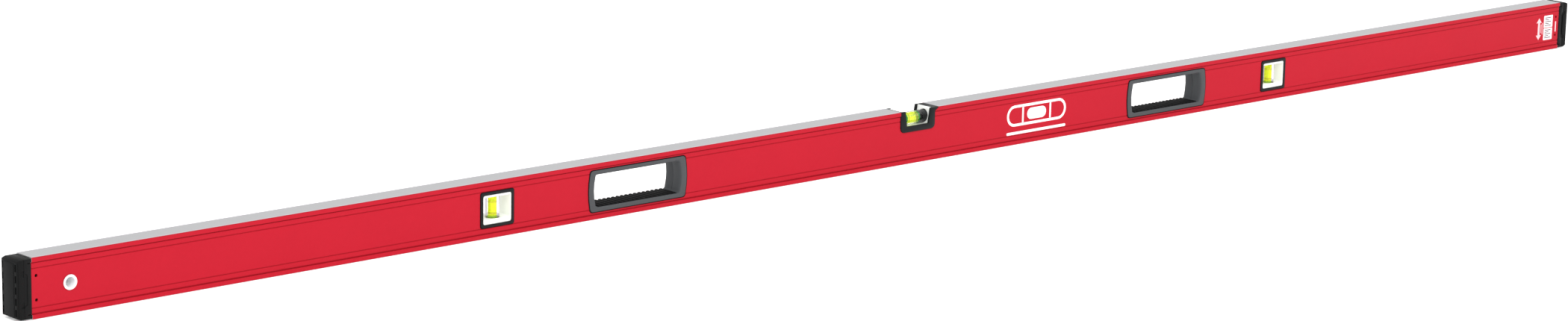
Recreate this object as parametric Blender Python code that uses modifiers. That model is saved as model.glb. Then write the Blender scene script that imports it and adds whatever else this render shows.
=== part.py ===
"""Box-section spirit level, 96 inch size.

A hollow aluminium beam carries a centre vial, two plumb vials, two hand holes and a hang hole,
and a two-piece cap closes each end. Units are metres. +X runs along the beam towards its right
end, +Z is up and the front faces -Y. The origin is the centre of the bottom measuring face.
"""

import math

import bmesh
import bpy
from mathutils import Matrix, Vector

# Overall sizes
LEVEL_LENGTH = 2.4384
LEVEL_HEIGHT = 0.0635
LEVEL_WIDTH = 0.0285

# Clearances
SEAT_GAP = 0.0003
VIAL_GAP = 0.0001
TRIM_SHY = 0.00005
OVERCUT = 0.002

# Beam section
EDGE_CHAMFER = 0.0005
RAIL_BAND = 0.0049
RAIL_GROOVE = 0.001
RAIL_GROOVE_LIP = 0.0003
WEB_LINE_HEIGHT = 0.0110
WEB_LINE = 0.0006
WEB_LINE_LIP = 0.0002
WEB_RECESS = 0.0011
GROOVE_DEPTH = 0.0005
SIDE_WALL = 0.0018
FLANGE = 0.0032
CAP_REACH = 0.0177

# Hand holes
HAND_HOLE_X = 0.4254
HAND_RIM_LENGTH = 0.1404
HAND_RIM_LOW = 0.0086
HAND_RIM_HIGH = 0.0552
HAND_BULGE = 0.0028
HAND_CORNER = 0.0040
RIM_OVERLAP = 0.0022
RIM_ROUND = 0.0005
GRIP_SIDE_BORDER = 0.0084
GRIP_OPENING_LOW = 0.0138
GRIP_OPENING_HIGH = 0.0496
GRIP_OPENING_CORNER = 0.0030
GRIP_ROUND_DEPTH = 0.0045
GRIP_ROUND_TOP = 0.0034
GRIP_ROUND_SIDE = 0.0022
GRIP_ROUND_BOTTOM = 0.0004
PAD_BASE = 0.0012
PAD_RIB_HEIGHT = 0.0014
PAD_RIBS = 18
PAD_PROUD = 0.0011
PAD_LIP = 0.0010

# Plumb vial windows
PLUMB_X = 0.6223
BEZEL_LENGTH = 0.0450
BEZEL_HEIGHT = 0.0391
BEZEL_CORNER = 0.0026
BEZEL_BORDER = 0.0034
BEZEL_OVERLAP = 0.0020
CARRIER_WALL = 0.0020
CARRIER_FLOOR = 0.0064
CARRIER_ROOF = 0.0038
CARRIER_BED = 0.0014
PLUMB_VIAL_FORWARD = 0.0046

# Centre vial window
CENTRE_NOTCH_LENGTH = 0.0554
CENTRE_NOTCH_LOW = 0.0379
CENTRE_NOTCH_CORNER = 0.0062
NOTCH_CORNER_STEPS = 3
EAR_LENGTH = 0.0052
EAR_ROOT = 0.0046
EAR_TIP = 0.0012
HOUSING_PLATE = 0.0027
HOUSING_WALL = 0.0028
HOUSING_TOP_SHY = 0.0003
HOUSING_WINDOW_LOW = 0.0451
HOUSING_WINDOW_BASE = 0.0348
HOUSING_WINDOW_TOP = 0.0406
CENTRE_FLOOR = 0.0021
CENTRE_CAVITY_BASE = 0.0392
CENTRE_CAVITY_TOP = 0.0448

# Vials
BARREL_RADIUS = 0.0077
BORE_RADIUS = 0.0045
RING_THICKNESS = 0.00025
RING_LENGTH = 0.0005
READING_HALF_SPAN = 0.0062
BARREL_END = 0.0022
PLUG_LENGTH = 0.0026
PLUMB_VIAL_LENGTH = 0.0310
CENTRE_VIAL_LENGTH = 0.0454
CENTRE_VIAL_Z = 0.0517
CENTRE_VIAL_BODY = 0.0292
VIAL_NECK_RADIUS = 0.0063
SLEEVE_WALL = 0.0007
CENTRE_BUBBLE = (0.0015, 0.0026, 0.0056)
CENTRE_BUBBLE_RISE = 0.00235
CENTRE_CHANNEL_RADIUS = 0.0029
CENTRE_CHANNEL_LENGTH = 0.0330
PLUMB_BUBBLE = (0.0029, 0.0029, 0.0032)
PLUMB_CHANNEL_RADIUS = 0.0032
PLUMB_CHANNEL_FLOOR = 0.0008

# Hang hole
HANG_HOLE_X = -1.1572
HANG_FLANGE_RADIUS = 0.0079
HANG_BORE_RADIUS = 0.0054
HANG_SLEEVE_WALL = 0.0012
HANG_ROUND = 0.0005

# End caps
SNAP_HOLE_INSET = 0.0057
SNAP_HOLE_SPREAD = 0.0125
SNAP_HOLE_RADIUS = 0.00175
CAP_SHY = 0.0012
CAP_SIDE_SHY = 0.0003
PLUG_NOSE = 0.0260
PLUG_WALL = 0.0020
PLUG_BLOCK_LENGTH = 0.0081
PLUG_KEY = (0.0045, 0.0120, 0.0380)
RECESS_SETBACK = 0.0044
RECESS_WALL = (0.0164, 0.0461)
RECESS_MOUTH = (0.0135, 0.0498)
TONGUE_ROOT = 0.0191
TONGUE_TIP = 0.0166
TONGUE_EDGE = 0.0130
TONGUE_REACH = (0.0034, 0.0037)
BUMPER_TAPER_LENGTH = 0.0042
BUMPER_TAPER = 0.0017
BUMPER_EDGE = 0.00035
BUMPER_PANEL = (0.0004, 0.0089, 0.02725)
BUMPER_SLOTS = 5
BUMPER_SLOT = (0.0025, 0.0073)
BUMPER_SLOT_PITCH = 0.0115
BUMPER_SLOT_Y = 0.0120
BUMPER_SLOT_DEPTH = 0.0020
BUMPER_LINE = (0.0018, 0.0004, 0.0004, 0.0280)

# Facets
CORNER_STEPS = 3
SIDE_POINTS = 3
ROUND_STEPS = 3
HOLE_SIDES = 20
BARREL_SIDES = 20
BUSH_SIDES = 24
SNAP_HOLE_SIDES = 10

# Derived places
HALF_WIDTH = LEVEL_WIDTH / 2
MID_HEIGHT = LEVEL_HEIGHT / 2
BEAM_END = LEVEL_LENGTH / 2 - CAP_REACH
TRIM_FACE = HALF_WIDTH - TRIM_SHY
WEB_FACE = HALF_WIDTH - WEB_RECESS
WEB_INSIDE = WEB_FACE - SIDE_WALL
TRIM_BACK = WEB_FACE + SEAT_GAP
MID_GAP = SEAT_GAP / 2
GRIP_OPENING_LENGTH = HAND_RIM_LENGTH - 2 * GRIP_SIDE_BORDER

LEFT, RIGHT = -1, 1
FRONT, REAR = -1, 1
SIDE_NAMES = {LEFT: "left", RIGHT: "right"}
FACE_NAMES = {FRONT: "front", REAR: "rear"}

COLOURS = {
    "red_coat": ((0.68, 0.025, 0.045), 0.0, 0.38),
    "grip_plastic": ((0.045, 0.048, 0.050), 0.0, 0.55),
    "grip_rubber": ((0.018, 0.019, 0.020), 0.0, 0.8),
    "black_plastic": ((0.020, 0.021, 0.022), 0.0, 0.45),
    "white_plastic": ((0.80, 0.82, 0.80), 0.0, 0.5),
    "clear_acrylic": ((0.90, 0.95, 0.90), 0.0, 0.05),
    "vial_fluid": ((0.75, 0.85, 0.05), 0.0, 0.05),
    "air_bubble": ((0.90, 0.95, 0.55), 0.0, 0.05),
    "reading_line": ((0.010, 0.010, 0.010), 0.0, 0.5),
    "bush_metal": ((0.70, 0.71, 0.73), 0.8, 0.35),
    "cap_plastic": ((0.035, 0.037, 0.039), 0.0, 0.6),
    "cap_rubber": ((0.030, 0.031, 0.033), 0.0, 0.75),
}


# ---------------------------------------------------------------- scene helpers


def clear_scene():
    for obj in list(bpy.data.objects):
        bpy.data.objects.remove(obj)


def make_collection(name):
    collection = bpy.data.collections.new(name)
    bpy.context.scene.collection.children.link(collection)
    return collection


def make_material(name):
    colour, metallic, roughness = COLOURS[name]
    material = bpy.data.materials.new(name)
    material.use_nodes = True
    shader = material.node_tree.nodes["Principled BSDF"]
    shader.inputs["Base Color"].default_value = (*colour, 1.0)
    shader.inputs["Metallic"].default_value = metallic
    shader.inputs["Roughness"].default_value = roughness
    return material


clear_scene()
PARTS = make_collection("spirit_level")
HELPERS = make_collection("boolean_helpers")
MATERIALS = {name: make_material(name) for name in COLOURS}


def add_part(name, mesh, material, location=(0, 0, 0), turn=(0, 0, 0), parent=None):
    """Links a mesh as a named sub-part, placed by its location and its turn about X, Y and Z."""
    obj = bpy.data.objects.new(name, mesh)
    obj.location = location
    obj.rotation_euler = turn
    obj.parent = parent
    if not mesh.materials:
        mesh.materials.append(MATERIALS[material])
    PARTS.objects.link(obj)
    return obj


def add_empty(name, location=(0, 0, 0), turn=(0, 0, 0)):
    empty = bpy.data.objects.new(name, None)
    empty.location = location
    empty.rotation_euler = turn
    empty.empty_display_size = 0.01
    PARTS.objects.link(empty)
    return empty


def combine(target, mesh, label, operation, location, turn):
    """Gives target a Boolean with a helper shape, whose place is in target's own frame."""
    helper = bpy.data.objects.new(target.name + "_" + label, mesh)
    helper.parent = target
    helper.location = location
    helper.rotation_euler = turn
    helper.hide_render = True
    helper.display_type = "WIRE"
    HELPERS.objects.link(helper)
    boolean = target.modifiers.new(label, "BOOLEAN")
    boolean.operation = operation
    boolean.solver = "EXACT"
    boolean.object = helper


def cut(target, mesh, label, location=(0, 0, 0), turn=(0, 0, 0)):
    """Takes a shape away from target."""
    combine(target, mesh, label, "DIFFERENCE", location, turn)


def join(target, mesh, label, location=(0, 0, 0), turn=(0, 0, 0)):
    """Adds a shape to target."""
    combine(target, mesh, label, "UNION", location, turn)


# ---------------------------------------------------------------- shape helpers


def mesh_from(bm, name, smooth=False):
    bmesh.ops.recalc_face_normals(bm, faces=bm.faces)
    mesh = bpy.data.meshes.new(name)
    bm.to_mesh(mesh)
    bm.free()
    if smooth:
        mesh.shade_smooth()
        mesh.set_sharp_from_angle(angle=math.radians(35))
    return mesh


def box(name, low, high):
    """A box between two corners."""
    low, high = Vector(low), Vector(high)
    bm = bmesh.new()
    bmesh.ops.create_cube(bm, size=1)
    bmesh.ops.scale(bm, vec=high - low, verts=bm.verts)
    bmesh.ops.translate(bm, vec=(high + low) / 2, verts=bm.verts)
    return mesh_from(bm, name)


def prism(name, outline, axis, low, high):
    """An outline of (across, up) points, pulled along X or Y from low to high."""
    direction = Vector((1, 0, 0)) if axis == "X" else Vector((0, 1, 0))
    across = Vector((0, 1, 0)) if axis == "X" else Vector((1, 0, 0))
    bm = bmesh.new()
    points = [direction * low + across * u + Vector((0, 0, v)) for u, v in outline]
    face = bm.faces.new([bm.verts.new(point) for point in points])
    pulled = bmesh.ops.extrude_face_region(bm, geom=[face])["geom"]
    moved = [item for item in pulled if isinstance(item, bmesh.types.BMVert)]
    bmesh.ops.translate(bm, vec=direction * (high - low), verts=moved)
    return mesh_from(bm, name)


def ring_loft(name, sections):
    """A ring whose wall runs through the sections in turn and closes on the first of them."""
    bm = bmesh.new()
    rings = [[bm.verts.new(point) for point in section] for section in sections]
    for ring, after in zip(rings, rings[1:] + rings[:1]):
        for i in range(len(ring)):
            j = (i + 1) % len(ring)
            bm.faces.new((ring[i], ring[j], after[j], after[i]))
    return mesh_from(bm, name, smooth=True)


def cylinder(name, radius, length, sides, axis="Z"):
    """A cylinder about the origin, along X, Y or Z."""
    turns = {"Z": Matrix(), "Y": Matrix.Rotation(math.pi / 2, 4, "X")}
    turns["X"] = Matrix.Rotation(math.pi / 2, 4, "Y")
    bm = bmesh.new()
    bmesh.ops.create_cone(
        bm, cap_ends=True, segments=sides, radius1=radius, radius2=radius, depth=length, matrix=turns[axis]
    )
    return mesh_from(bm, name, smooth=True)


def turned(name, profile, sides, material, closed=False, **place):
    """A profile of (radius, height) points turned about Z. It runs down its outer side."""
    mesh = bpy.data.meshes.new(name)
    edges = [(i, i + 1) for i in range(len(profile) - 1)]
    if closed:
        edges.append((len(profile) - 1, 0))
    mesh.from_pydata([(radius, 0, height) for radius, height in profile], edges, [])
    obj = add_part(name, mesh, material, **place)
    screw = obj.modifiers.new("turn", "SCREW")
    screw.axis = "Z"
    screw.steps = sides
    screw.render_steps = sides
    screw.use_merge_vertices = True
    screw.merge_threshold = 0.00001
    screw.use_smooth_shade = True
    return obj


def ring_profile(inner, outer, low, high):
    """The section of a plain ring, from its outer top edge down and back up its bore."""
    return [(outer, high), (outer, low), (inner, low), (inner, high)]


def arc_points(centre_u, centre_v, radius, start, end, steps):
    """Points on an arc, with angles in degrees."""
    angles = [math.radians(start + (end - start) * i / steps) for i in range(steps + 1)]
    return [(centre_u + radius * math.cos(a), centre_v + radius * math.sin(a)) for a in angles]


def bowed_outline(half_length, low, high, bulge, radius, side_points):
    """A rounded rectangle whose two ends bow outwards by bulge, as (along, up) points."""
    middle = (low + high) / 2
    reach = (high - low) / 2
    flat = reach - radius
    corner = half_length - bulge * (flat / reach) ** 2
    right = arc_points(corner - radius, low + radius, radius, -90, 0, CORNER_STEPS)
    for i in range(1, side_points + 1):
        up = -flat + 2 * flat * i / (side_points + 1)
        right.append((half_length - bulge * (up / reach) ** 2, middle + up))
    right += arc_points(corner - radius, high - radius, radius, 0, 90, CORNER_STEPS)
    return right + [(-along, up) for along, up in reversed(right)]


def rounded_outline(length, height, radius, middle=MID_HEIGHT):
    return bowed_outline(length / 2, middle - height / 2, middle + height / 2, 0, radius, 0)


def facing(outline, depth):
    """An outline set at a depth from the middle plane, towards the front."""
    return [Vector((along, -depth, up)) for along, up in outline]


# ---------------------------------------------------------------- beam


def beam_outline():
    """The beam's outer section as (across, up) points."""
    groove = WEB_FACE - GROOVE_DEPTH
    quarter = [
        (HALF_WIDTH - EDGE_CHAMFER, 0),
        (HALF_WIDTH, EDGE_CHAMFER),
        (HALF_WIDTH, RAIL_BAND),
        (groove, RAIL_BAND),
        (groove, RAIL_BAND + RAIL_GROOVE),
        (WEB_FACE, RAIL_BAND + RAIL_GROOVE + RAIL_GROOVE_LIP),
        (WEB_FACE, WEB_LINE_HEIGHT),
        (groove, WEB_LINE_HEIGHT + WEB_LINE_LIP),
        (groove, WEB_LINE_HEIGHT + WEB_LINE_LIP + WEB_LINE),
        (WEB_FACE, WEB_LINE_HEIGHT + 2 * WEB_LINE_LIP + WEB_LINE),
    ]
    right = quarter + [(across, LEVEL_HEIGHT - up) for across, up in reversed(quarter)]
    return right + [(-across, up) for across, up in reversed(right)]


def hand_hole_outline(grow):
    """The rim's outline on the web, drawn in or out all round by grow."""
    return bowed_outline(
        HAND_RIM_LENGTH / 2 + grow,
        HAND_RIM_LOW - grow,
        HAND_RIM_HIGH + grow,
        HAND_BULGE,
        HAND_CORNER + grow / 2,
        SIDE_POINTS,
    )


def centre_notch_outline(shrink, top):
    """The U-shaped cut for the centre vial, with rounded lower corners, drawn in by shrink."""
    half = CENTRE_NOTCH_LENGTH / 2 - shrink
    low = CENTRE_NOTCH_LOW + shrink
    radius = CENTRE_NOTCH_CORNER - shrink
    right = arc_points(half - radius, low + radius, radius, -90, 0, NOTCH_CORNER_STEPS)
    right.append((half, top))
    return right + [(-along, up) for along, up in reversed(right)]


def ear_outline(shrink, top):
    """The wedge that runs on from the notch's right-hand top edge, drawn in by shrink."""
    start = CENTRE_NOTCH_LENGTH / 2 - OVERCUT
    tip = CENTRE_NOTCH_LENGTH / 2 + EAR_LENGTH - shrink
    tip_low = LEVEL_HEIGHT - EAR_TIP + shrink
    root_low = LEVEL_HEIGHT - EAR_ROOT + shrink
    return [(start, root_low), (CENTRE_NOTCH_LENGTH / 2, root_low), (tip, tip_low), (tip, top), (start, top)]


def make_beam():
    beam = add_part("box_beam", prism("box_beam", beam_outline(), "X", -BEAM_END, BEAM_END), "red_coat")
    inside = rounded_outline(2 * WEB_INSIDE, LEVEL_HEIGHT - 2 * FLANGE, EDGE_CHAMFER)
    cut(beam, prism("cavity", inside, "X", -BEAM_END - OVERCUT, BEAM_END + OVERCUT), "cavity")
    through = HALF_WIDTH + OVERCUT
    hand_hole = prism("hand_hole", hand_hole_outline(-RIM_OVERLAP), "Y", -through, through)
    window_size = (BEZEL_LENGTH - 2 * BEZEL_OVERLAP, BEZEL_HEIGHT - 2 * BEZEL_OVERLAP)
    window = rounded_outline(*window_size, BEZEL_CORNER - BEZEL_OVERLAP / 2)
    window_mesh = prism("window", window, "Y", -through, through)
    snap_hole = cylinder("snap_hole", SNAP_HOLE_RADIUS, 2 * through, SNAP_HOLE_SIDES, "Y")
    for side in (LEFT, RIGHT):
        label = SIDE_NAMES[side]
        cut(beam, hand_hole, "hand_hole_" + label, (side * HAND_HOLE_X, 0, 0))
        cut(beam, window_mesh, "window_" + label, (side * PLUMB_X, 0, 0))
        for height in (-SNAP_HOLE_SPREAD, SNAP_HOLE_SPREAD):
            place = (side * (BEAM_END - SNAP_HOLE_INSET), 0, MID_HEIGHT + height)
            cut(beam, snap_hole, "snap_hole_" + label, place)
    top = LEVEL_HEIGHT + OVERCUT
    cut(beam, prism("notch", centre_notch_outline(0, top), "Y", -through, through), "notch")
    cut(beam, prism("ear_seat", ear_outline(0, top), "Y", -through, through), "ear_seat")
    bush_hole = HANG_BORE_RADIUS + HANG_SLEEVE_WALL + SEAT_GAP
    hole = cylinder("hang_hole", bush_hole, 2 * through, BUSH_SIDES, "Y")
    cut(beam, hole, "hang_hole", (HANG_HOLE_X, 0, MID_HEIGHT))


# ---------------------------------------------------------------- hand-hole grips


def grip_opening(spread, depth):
    """The opening's outline, widened by a share of its rounding."""
    outline = bowed_outline(
        GRIP_OPENING_LENGTH / 2 + spread * GRIP_ROUND_SIDE,
        GRIP_OPENING_LOW - spread * GRIP_ROUND_BOTTOM,
        GRIP_OPENING_HIGH + spread * GRIP_ROUND_TOP,
        HAND_BULGE,
        GRIP_OPENING_CORNER,
        SIDE_POINTS,
    )
    return facing(outline, depth)


def grip_half_mesh():
    """A flanged rim and its sleeve, from the front face to the middle plane."""
    sleeve = hand_hole_outline(-RIM_OVERLAP - SEAT_GAP)
    sections = [
        facing(hand_hole_outline(-RIM_ROUND), TRIM_FACE),
        facing(hand_hole_outline(0), TRIM_FACE - RIM_ROUND / 2),
        facing(hand_hole_outline(0), TRIM_BACK),
        facing(sleeve, TRIM_BACK),
        facing(sleeve, MID_GAP),
        grip_opening(0, MID_GAP),
    ]
    for i in range(ROUND_STEPS, -1, -1):
        angle = math.pi / 2 * i / ROUND_STEPS
        depth = TRIM_FACE - GRIP_ROUND_DEPTH * (1 - math.cos(angle))
        sections.append(grip_opening(1 - math.sin(angle), depth))
    return ring_loft("grip_half", sections)


def pad_half_length():
    """The pad ends where the opening's corners start to rise."""
    reach = (GRIP_OPENING_HIGH - GRIP_OPENING_LOW) / 2
    bow = HAND_BULGE * ((reach - GRIP_OPENING_CORNER) / reach) ** 2
    return GRIP_OPENING_LENGTH / 2 - bow - GRIP_OPENING_CORNER


def pad_outline():
    """A strip with square-topped ribs across it, as (along, up) points."""
    half = pad_half_length() - SEAT_GAP
    valley = GRIP_OPENING_LOW + PAD_PROUD - PAD_RIB_HEIGHT
    crest = valley + PAD_RIB_HEIGHT
    base = valley - PAD_BASE
    pitch = 2 * half / PAD_RIBS
    points = [(-half, base), (half, base)]
    for i in range(PAD_RIBS):
        right = half - i * pitch
        points += [(right, valley), (right - 0.25 * pitch, crest), (right - 0.65 * pitch, crest)]
        points.append((right - 0.9 * pitch, valley))
    return points + [(-half, valley)]


def make_grips():
    half_mesh = grip_half_mesh()
    pad_depth = TRIM_FACE - PAD_LIP
    pad_mesh = prism("grip_pad", pad_outline(), "Y", -pad_depth + SEAT_GAP, pad_depth - SEAT_GAP)
    pad_floor = GRIP_OPENING_LOW + PAD_PROUD - PAD_RIB_HEIGHT - PAD_BASE - SEAT_GAP
    pocket_low = (-pad_half_length(), -pad_depth, pad_floor)
    pocket_high = (pad_half_length(), OVERCUT, GRIP_OPENING_LOW + OVERCUT)
    pocket = box("pad_pocket", pocket_low, pocket_high)
    for side in (LEFT, RIGHT):
        place = (side * HAND_HOLE_X, 0, 0)
        for face, turn in ((FRONT, 0), (REAR, math.pi)):
            name = "grip_" + SIDE_NAMES[side] + "_" + FACE_NAMES[face]
            half = add_part(name, half_mesh, "grip_plastic", location=place, turn=(0, 0, turn))
            cut(half, pocket, "pad_pocket")
        add_part("grip_pad_" + SIDE_NAMES[side], pad_mesh, "grip_rubber", location=place)


# ---------------------------------------------------------------- vials


def make_vial(label, centre, turn, length, neck, bubble, rise, bubble_at, channel):
    """Barrel, plug, fluid, bubble and reading rings about one axis, which is the holder's Z.

    neck is the length at each end that is turned down to the neck radius, or 0. rise sets the bubble
    and its channel off the axis, towards the holder's -X. channel is (radius, low, high).
    """
    holder = add_empty(label + "_vial_axis", centre, turn)
    half = length / 2
    plug_base = half - PLUG_LENGTH
    bore_floor = -half + BARREL_END
    outer = [(BARREL_RADIUS, half), (BARREL_RADIUS, -half)]
    if neck:
        shoulder = half - neck
        outer = [(VIAL_NECK_RADIUS, half), (VIAL_NECK_RADIUS, shoulder), (BARREL_RADIUS, shoulder)]
        outer += [(radius, -height) for radius, height in reversed(outer)]
    barrel = [(0, bore_floor), (BORE_RADIUS, bore_floor), (BORE_RADIUS, half), *outer, (0, -half)]
    turned(label + "_vial", barrel, BARREL_SIDES, "clear_acrylic", parent=holder)

    plug_radius = BORE_RADIUS - VIAL_GAP
    plug = [(0, half), (plug_radius, half), (plug_radius, plug_base), (0, plug_base)]
    turned(label + "_plug", plug, BARREL_SIDES, "white_plastic", parent=holder)

    ring_inner = plug_radius - RING_THICKNESS
    for name, height in (("ring_a", -READING_HALF_SPAN), ("ring_b", READING_HALF_SPAN)):
        section = ring_profile(ring_inner, plug_radius, -RING_LENGTH / 2, RING_LENGTH / 2)
        place = {"location": (0, 0, height), "parent": holder}
        turned(label + "_" + name, section, BARREL_SIDES, "reading_line", closed=True, **place)

    fluid_radius = ring_inner - VIAL_GAP
    low = bore_floor + VIAL_GAP
    high = plug_base - VIAL_GAP
    middle = {"location": (0, 0, (low + high) / 2), "parent": holder}
    fluid_mesh = cylinder(label + "_fluid", fluid_radius, high - low, BARREL_SIDES)
    fluid = add_part(label + "_fluid", fluid_mesh, "vial_fluid", **middle)
    radius, channel_low, channel_high = channel
    channel_mesh = cylinder(label + "_channel", radius, channel_high - channel_low, BARREL_SIDES)
    channel_middle = (channel_low + channel_high) / 2 - (low + high) / 2
    cut(fluid, channel_mesh, "channel", (-rise, 0, channel_middle))

    bm = bmesh.new()
    bmesh.ops.create_uvsphere(bm, u_segments=12, v_segments=8, radius=1)
    bmesh.ops.scale(bm, vec=bubble, verts=bm.verts)
    bubble_mesh = mesh_from(bm, label + "_bubble", smooth=True)
    place = {"location": (-rise, 0, bubble_at), "parent": holder}
    add_part(label + "_bubble", bubble_mesh, "air_bubble", **place)


# ---------------------------------------------------------------- plumb windows


def bezel_mesh():
    """A flat ring with a rounded outer edge, on the web around the window."""
    length, height = BEZEL_LENGTH, BEZEL_HEIGHT
    inner_corner = BEZEL_CORNER - RIM_ROUND
    inner = rounded_outline(length - 2 * BEZEL_BORDER, height - 2 * BEZEL_BORDER, inner_corner)
    outer = rounded_outline(length, height, BEZEL_CORNER)
    rounded = rounded_outline(length - RIM_ROUND, height - RIM_ROUND, BEZEL_CORNER)
    sections = [facing(rounded, TRIM_FACE), facing(outer, TRIM_FACE - RIM_ROUND / 2)]
    sections += [facing(outer, TRIM_BACK), facing(inner, TRIM_BACK), facing(inner, TRIM_FACE)]
    return ring_loft("plumb_bezel", sections)


def make_carrier(name, place):
    """The white frame in a plumb window. The vial stands in its floor and passes through its roof."""
    length = BEZEL_LENGTH - 2 * BEZEL_OVERLAP - 2 * SEAT_GAP
    height = BEZEL_HEIGHT - 2 * BEZEL_OVERLAP - 2 * SEAT_GAP
    outline = rounded_outline(length, height, BEZEL_CORNER - BEZEL_OVERLAP / 2 - SEAT_GAP)
    block = prism(name, outline, "Y", -WEB_FACE, WEB_FACE)
    carrier = add_part(name, block, "white_plastic", location=place)
    half_opening = length / 2 - CARRIER_WALL
    bottom = MID_HEIGHT - height / 2
    top = MID_HEIGHT + height / 2
    out = WEB_FACE + OVERCUT
    sight_low = (-half_opening, -out, bottom + CARRIER_FLOOR)
    sight = box("sight", sight_low, (half_opening, out, top - CARRIER_ROOF))
    cut(carrier, sight, "sight")
    socket_floor = bottom + CARRIER_BED
    socket_top = top + OVERCUT
    socket = cylinder("socket", BARREL_RADIUS + SEAT_GAP, socket_top - socket_floor, HOLE_SIDES)
    cut(carrier, socket, "socket", (0, -PLUMB_VIAL_FORWARD, (socket_floor + socket_top) / 2))


def make_plumb_windows():
    ring = bezel_mesh()
    fluid_top = PLUMB_VIAL_LENGTH / 2 - PLUG_LENGTH - VIAL_GAP
    fluid_floor = -PLUMB_VIAL_LENGTH / 2 + BARREL_END + VIAL_GAP
    bubble_at = fluid_top - VIAL_GAP - PLUMB_BUBBLE[2]
    channel = (PLUMB_CHANNEL_RADIUS, fluid_floor + PLUMB_CHANNEL_FLOOR, fluid_top + OVERCUT)
    for side in (LEFT, RIGHT):
        label = "plumb_" + SIDE_NAMES[side]
        place = (side * PLUMB_X, 0, 0)
        for face, turn in ((FRONT, 0), (REAR, math.pi)):
            name = label + "_bezel_" + FACE_NAMES[face]
            add_part(name, ring, "black_plastic", location=place, turn=(0, 0, turn))
        make_carrier(label + "_carrier", place)
        centre = (side * PLUMB_X, -PLUMB_VIAL_FORWARD, MID_HEIGHT)
        make_vial(label, centre, (0, 0, 0), PLUMB_VIAL_LENGTH, 0, PLUMB_BUBBLE, 0, bubble_at, channel)


# ---------------------------------------------------------------- centre window


def make_housing_half(face):
    """A U-shaped plate on one side of the notch, with a rim that reaches in to the middle plane."""
    name = "centre_housing_" + FACE_NAMES[face]
    top = LEVEL_HEIGHT - HOUSING_TOP_SHY
    outline = centre_notch_outline(SEAT_GAP, top)
    inner, outer = face * MID_GAP, face * TRIM_FACE
    half = add_part(name, prism(name, outline, "Y", inner, outer), "black_plastic")
    past = TRIM_FACE + OVERCUT
    window_base, window_top = HOUSING_WINDOW_BASE / 2, HOUSING_WINDOW_TOP / 2
    slope = (window_top - window_base) / (top - HOUSING_WINDOW_LOW)
    window_top += slope * OVERCUT
    right = [(window_base, HOUSING_WINDOW_LOW), (window_top, top + OVERCUT)]
    window = right + [(-along, up) for along, up in reversed(right)]
    cut(half, prism("window", window, "Y", -face * OVERCUT, face * past), "window")
    bay_half = CENTRE_NOTCH_LENGTH / 2 - SEAT_GAP - HOUSING_WALL
    bay_low = CENTRE_NOTCH_LOW + SEAT_GAP + HOUSING_WALL
    bay_depth = face * (TRIM_FACE - HOUSING_PLATE)
    ends = sorted((-face * OVERCUT, bay_depth))
    bay = box("bay", (-bay_half, ends[0], bay_low), (bay_half, ends[1], top + OVERCUT))
    cut(half, bay, "bay")
    ends = sorted((inner, outer))
    join(half, prism("ear", ear_outline(SEAT_GAP, top), "Y", *ends), "ear")


def make_centre_carrier():
    """The white saddle between the plates: a floor and two drafted end walls that the vial passes."""
    half = CENTRE_NOTCH_LENGTH / 2 - 2 * SEAT_GAP - HOUSING_WALL
    depth = TRIM_FACE - HOUSING_PLATE - SEAT_GAP
    low = CENTRE_NOTCH_LOW + 2 * SEAT_GAP + HOUSING_WALL
    top = LEVEL_HEIGHT - HOUSING_TOP_SHY - SEAT_GAP
    block = box("centre_carrier", (-half, -depth, low), (half, depth, top))
    carrier = add_part("centre_carrier", block, "white_plastic")
    floor = low + CENTRE_FLOOR
    slope = (CENTRE_CAVITY_TOP - CENTRE_CAVITY_BASE) / 2 / (top - floor)
    right = [(CENTRE_CAVITY_BASE / 2, floor), (CENTRE_CAVITY_TOP / 2 + slope * OVERCUT, top + OVERCUT)]
    cavity = right + [(-along, up) for along, up in reversed(right)]
    cut(carrier, prism("cavity", cavity, "Y", -depth - OVERCUT, depth + OVERCUT), "cavity")
    socket = cylinder("socket", BARREL_RADIUS + SEAT_GAP, 2 * half + 2 * OVERCUT, HOLE_SIDES, "X")
    cut(carrier, socket, "socket", (0, 0, CENTRE_VIAL_Z))


def make_centre_window():
    for face in (FRONT, REAR):
        make_housing_half(face)
    make_centre_carrier()
    neck = (CENTRE_VIAL_LENGTH - CENTRE_VIAL_BODY) / 2
    half_channel = CENTRE_CHANNEL_LENGTH / 2
    channel = (CENTRE_CHANNEL_RADIUS, -half_channel, half_channel)
    centre = (0, 0, CENTRE_VIAL_Z)
    along_x = (0, math.pi / 2, 0)
    vial = (CENTRE_VIAL_LENGTH, neck, CENTRE_BUBBLE, CENTRE_BUBBLE_RISE, 0, channel)
    make_vial("centre", centre, along_x, *vial)
    inner = VIAL_NECK_RADIUS + SEAT_GAP
    start = CENTRE_VIAL_BODY / 2 + SEAT_GAP
    section = ring_profile(inner, inner + SLEEVE_WALL, start, CENTRE_VIAL_LENGTH / 2)
    for side, turn in ((LEFT, -math.pi / 2), (RIGHT, math.pi / 2)):
        name = "centre_sleeve_" + SIDE_NAMES[side]
        place = {"location": centre, "turn": (0, turn, 0)}
        turned(name, section, BARREL_SIDES, "black_plastic", closed=True, **place)


# ---------------------------------------------------------------- hang hole


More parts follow.
